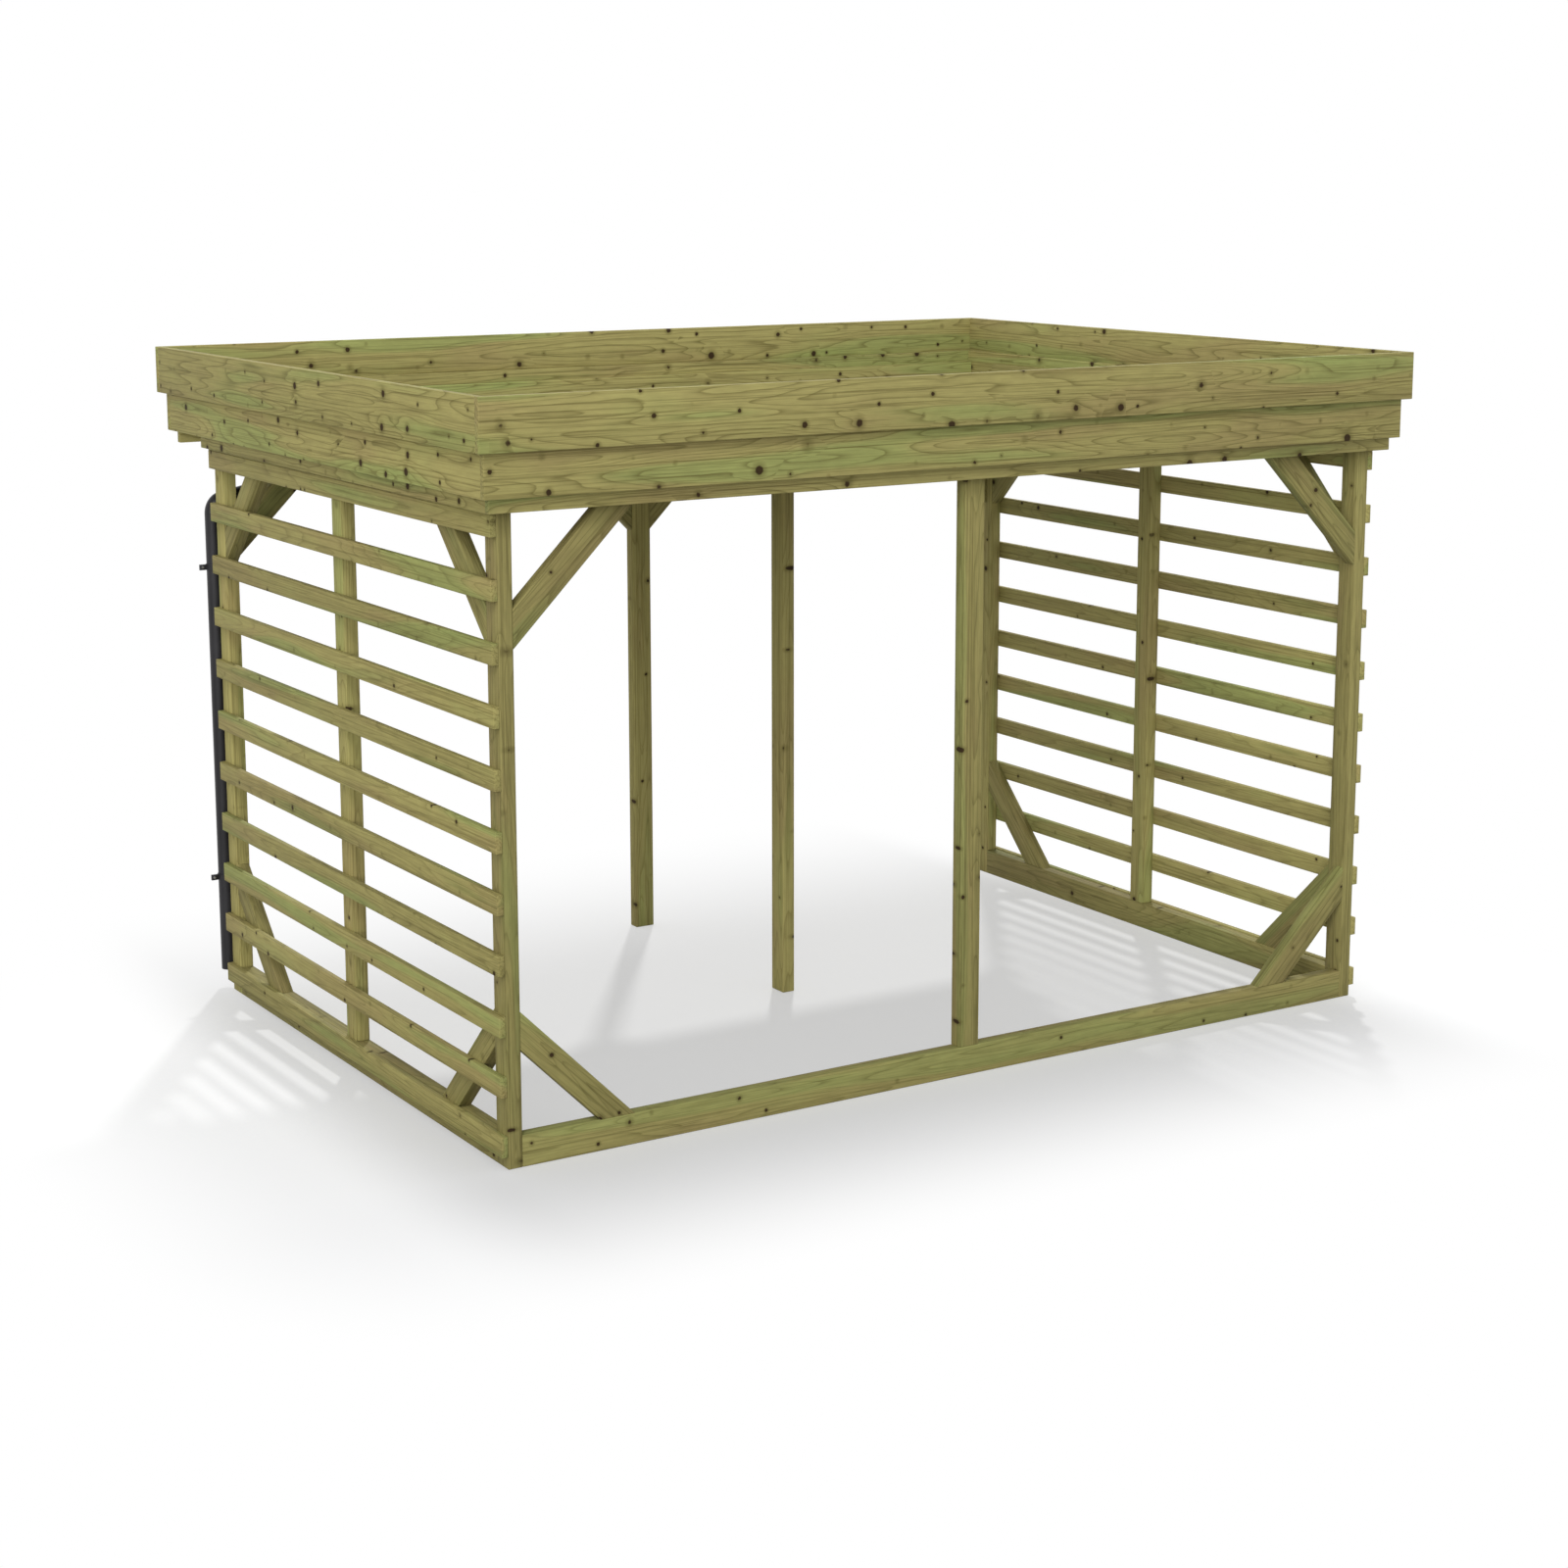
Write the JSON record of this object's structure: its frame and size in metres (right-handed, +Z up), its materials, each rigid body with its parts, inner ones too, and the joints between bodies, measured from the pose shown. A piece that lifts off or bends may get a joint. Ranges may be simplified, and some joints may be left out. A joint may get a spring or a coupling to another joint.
{
  "type": "open log store",
  "caption": "Open timber log store with posts, slatted side walls, 45 degree braces, a stepped fascia round a shallow roof, and a downpipe at the rear.",
  "frame": {"origin": "centre of the plan at ground level", "axes": "+X along the long front to the viewer's right, +Y from the front to the rear, +Z up"},
  "size_m": [3.6, 2.634, 2.334],
  "materials": {
    "fascia_timber": "sawn, pressure treated",
    "slat_timber": "sawn, pressure treated",
    "post_timber": "sawn, pressure treated",
    "rail_timber": "sawn, pressure treated",
    "brace_timber": "sawn, pressure treated",
    "beam_timber": "sawn, pressure treated",
    "roof_board": "plain board",
    "roof_felt": "matt",
    "gutter_plastic": "satin",
    "pipe_plastic": "satin",
    "clamp_plastic": "satin"
  },
  "bodies": {
    "root": {"centre_top_beam": "beam_timber", "downpipe": "pipe_plastic", "fascia_1_front": "fascia_timber", "fascia_1_left": "fascia_timber", "fascia_1_rear": "fascia_timber", "fascia_1_right": "fascia_timber", "fascia_2_front": "fascia_timber", "fascia_2_left": "fascia_timber", "fascia_2_rear": "fascia_timber", "fascia_2_right": "fascia_timber", "fascia_3_front": "fascia_timber", "fascia_3_left": "fascia_timber", "fascia_3_rear": "fascia_timber", "fascia_3_right": "fascia_timber", "front_header": "beam_timber", "front_lower_braces": "brace_timber", "front_sill": "rail_timber", "front_top_beam": "beam_timber", "front_upper_braces": "brace_timber", "gutter_ends": "gutter_plastic", "gutter_floor": "gutter_plastic", "gutter_front_wall": "gutter_plastic", "gutter_rear_wall": "gutter_plastic", "left_bottom_rail": "rail_timber", "left_lower_braces": "brace_timber", "left_slats": "slat_timber", "left_upper_braces": "brace_timber", "pipe_clamps": "clamp_plastic", "post_centre": "post_timber", "post_front_left": "post_timber", "post_front_middle": "post_timber", "post_front_right": "post_timber", "post_middle_left": "post_timber", "post_middle_right": "post_timber", "post_rear_left": "post_timber", "post_rear_middle": "post_timber", "post_rear_right": "post_timber", "rear_corner_braces": "brace_timber", "rear_middle_braces": "brace_timber", "rear_top_beam": "beam_timber", "right_bottom_rail": "rail_timber", "right_lower_braces": "brace_timber", "right_slats": "slat_timber", "right_upper_braces": "brace_timber", "roof_deck": "roof_board", "roof_felt": "roof_felt", "roof_joists": "beam_timber", "side_headers": "beam_timber", "side_top_beams": "beam_timber"}
  },
  "joints": []
}
